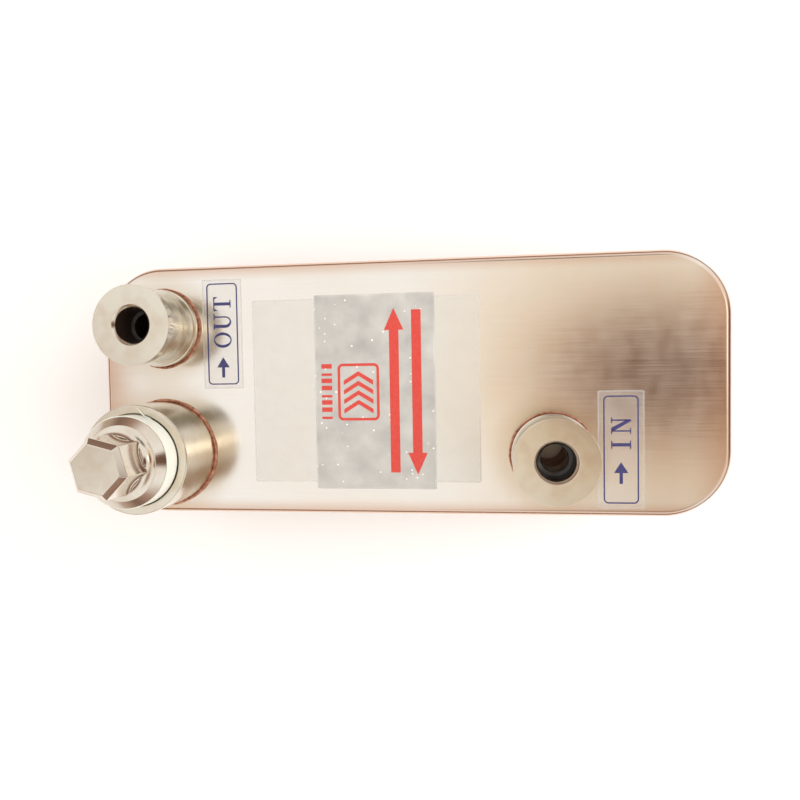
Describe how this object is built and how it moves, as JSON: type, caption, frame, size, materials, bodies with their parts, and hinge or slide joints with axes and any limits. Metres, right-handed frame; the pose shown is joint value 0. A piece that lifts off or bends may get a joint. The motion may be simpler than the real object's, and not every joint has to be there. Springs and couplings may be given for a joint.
{
  "type": "plate heat exchanger",
  "caption": "Brazed plate heat exchanger with two solder nozzles and a plugged socket on its front and two water sockets on its back.",
  "frame": {"origin": "under the middle of the plate pack, in the plane of the back sockets' ends, on which the unit lies", "axes": "+X along the length towards the inboard inlet nozzle's end, +Y across the width towards the outlet nozzle, +Z out of the front cover along the fittings"},
  "size_m": [0.304, 0.124, 0.149],
  "materials": {
    "stainless_steel": "satin rolled stainless sheet, vacuum brazed",
    "turned_steel": "turned stainless bar with fine tool marks",
    "plated_plug": "forged and turned steel, nickel plated",
    "copper_braze": "flowed copper braze, slightly oxidised",
    "copper_tube": "drawn copper tube",
    "seal_tape": "white PTFE thread tape, wound",
    "clear_film": "clear adhesive film, slightly milky",
    "grey_film_label": "translucent grey film with red print",
    "paper_label": "white gloss paper with dark blue print"
  },
  "bodies": {
    "exchanger": {"front_cover_plate": "stainless_steel", "back_cover_plate": "stainless_steel", "edge_braze_seams": "copper_braze", "refrigerant_port_braze": "copper_braze", "water_port_braze": "copper_braze", "refrigerant_outlet_nozzle": "turned_steel", "refrigerant_inlet_nozzle": "turned_steel", "refrigerant_outlet_braze": "copper_braze", "refrigerant_inlet_braze": "copper_braze", "plugged_water_socket": "turned_steel", "plugged_socket_braze": "copper_braze", "water_inlet_socket": "turned_steel", "water_inlet_braze": "copper_braze", "water_outlet_socket": "turned_steel", "water_outlet_braze": "copper_braze", "inlet_distributor_tube": "copper_tube", "backing_film": "clear_film", "rating_label": "grey_film_label", "outlet_label": "paper_label", "inlet_label": "paper_label", "channel_plate_01": "stainless_steel", "channel_plate_02": "stainless_steel", "channel_plate_03": "stainless_steel", "channel_plate_04": "stainless_steel", "channel_plate_05": "stainless_steel", "channel_plate_06": "stainless_steel", "channel_plate_07": "stainless_steel", "channel_plate_08": "stainless_steel", "channel_plate_09": "stainless_steel", "channel_plate_10": "stainless_steel", "channel_plate_11": "stainless_steel", "channel_plate_12": "stainless_steel", "channel_plate_13": "stainless_steel", "channel_plate_14": "stainless_steel", "channel_plate_15": "stainless_steel", "channel_plate_16": "stainless_steel", "channel_plate_17": "stainless_steel", "channel_plate_18": "stainless_steel", "channel_plate_19": "stainless_steel", "channel_plate_20": "stainless_steel"},
    "tape_lift": {"thread_seal_tape": "seal_tape"},
    "plug": {"port_plug": "plated_plug"}
  },
  "joints": [
    {"name": "plug_lift", "type": "slide", "parent": "exchanger", "child": "tape_lift", "axis": [0, 0, 1], "range_m": [0, 0.01156]},
    {"name": "plug_turn", "type": "hinge", "parent": "tape_lift", "child": "plug", "pos_m": [-0.1195, -0.031, 0.103], "axis": [0, 0, 1], "range_deg": [0, 1800]}
  ],
  "couplings": [
    {"joint": "plug_lift", "follows": "plug_turn", "m_per_rad": 0.00036749}
  ]
}
